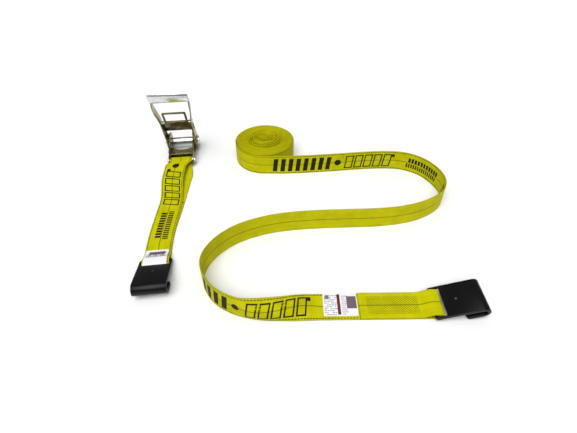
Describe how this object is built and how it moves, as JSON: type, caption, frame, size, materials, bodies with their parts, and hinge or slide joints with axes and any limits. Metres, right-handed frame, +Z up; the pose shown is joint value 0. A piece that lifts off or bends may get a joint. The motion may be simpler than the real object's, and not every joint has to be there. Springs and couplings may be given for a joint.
{
  "type": "ratchet tie down",
  "caption": "Ratchet with a slotted spindle and pawls, a short webbing strap with a flat hook, and a long coiled webbing strap with a matching hook.",
  "frame": {"origin": "centre of the whole object's bounding box at floor level", "axes": "+X along the ratchet's spindle towards the long strap, +Y from the hooks towards the ratchet, +Z up"},
  "size_m": [0.642, 0.6131, 0.1914],
  "materials": {
    "yellow_zinc": "yellow zinc plated steel, semi-gloss",
    "bright_zinc": "bright zinc plated steel, semi-gloss",
    "plated_steel": "plated steel, satin",
    "webbing": "woven polyester webbing, matte",
    "label": "woven white label, satin",
    "black_coating": "black powder coat, semi-gloss"
  },
  "bodies": {
    "frame": {"frame_side_left": "yellow_zinc", "frame_side_right": "yellow_zinc", "frame_bridge": "yellow_zinc", "anchor_bolt": "plated_steel", "anchor_nut": "plated_steel", "anchor_sleeve": "plated_steel", "lock_pawl_spring_left": "plated_steel", "lock_pawl_spring_right": "plated_steel"},
    "spindle": {"spindle_half_front": "bright_zinc", "spindle_half_rear": "bright_zinc", "ratchet_wheel_left": "yellow_zinc", "ratchet_wheel_right": "yellow_zinc", "spindle_washer_left": "plated_steel", "spindle_washer_right": "plated_steel", "cotter_pin_left": "plated_steel", "cotter_pin_right": "plated_steel"},
    "handle": {"handle_side_left": "yellow_zinc", "handle_side_right": "yellow_zinc", "handle_bridge": "yellow_zinc", "handle_grip": "bright_zinc", "drive_pawl_spring_left": "plated_steel", "drive_pawl_spring_right": "plated_steel"},
    "drive_pawl": {"drive_pawl": "yellow_zinc"},
    "lock_pawl": {"lock_pawl": "yellow_zinc"},
    "short_strap": {"short_strap": "webbing", "short_strap_label": "label"},
    "short_hook": {"short_hook": "black_coating"},
    "long_strap": {"long_strap_roll": "webbing", "long_strap_run": "webbing", "long_strap_label": "label"},
    "long_hook": {"long_hook": "black_coating"}
  },
  "joints": [
    {"name": "handle_swing", "type": "hinge", "parent": "frame", "child": "handle", "pos_m": [-0.26718, 0.28257, 0.024], "axis": [1, 0, 0], "range_deg": [-108, 54]},
    {"name": "spindle_turn", "type": "hinge", "parent": "frame", "child": "spindle", "pos_m": [-0.26718, 0.28257, 0.024], "axis": [1, 0, 0], "continuous": true},
    {"name": "drive_pawl_slide", "type": "slide", "parent": "handle", "child": "drive_pawl", "axis": [0, 0.4462, -0.8949], "range_m": [-0.006, 0.0032], "stiffness_N_per_m": 300, "deforming": ["drive_pawl_spring_left", "drive_pawl_spring_right"]},
    {"name": "lock_pawl_slide", "type": "slide", "parent": "frame", "child": "lock_pawl", "axis": [0, 0.989, 0.1478], "range_m": [-0.006, 0.0032], "stiffness_N_per_m": 300, "deforming": ["lock_pawl_spring_left", "lock_pawl_spring_right"]},
    {"name": "short_strap_swing", "type": "hinge", "parent": "frame", "child": "short_strap", "pos_m": [-0.26718, 0.20938, 0.01306], "axis": [1, 0, 0], "range_deg": [-70, 20]},
    {"name": "short_hook_swing", "type": "hinge", "parent": "short_strap", "child": "short_hook", "pos_m": [-0.29102, -0.11348, 0.007], "axis": [1, 0.0069, 0], "range_deg": [-60, 60]},
    {"name": "long_strap_shift", "type": "slide", "parent": "frame", "child": "long_strap", "axis": [1, 0, 0], "range_m": [0, 0.3]},
    {"name": "long_hook_swing", "type": "hinge", "parent": "long_strap", "child": "long_hook", "pos_m": [0.18395, -0.27044, 0.00915], "axis": [0.0554, 0.9947, 0.087], "range_deg": [-60, 60]}
  ]
}
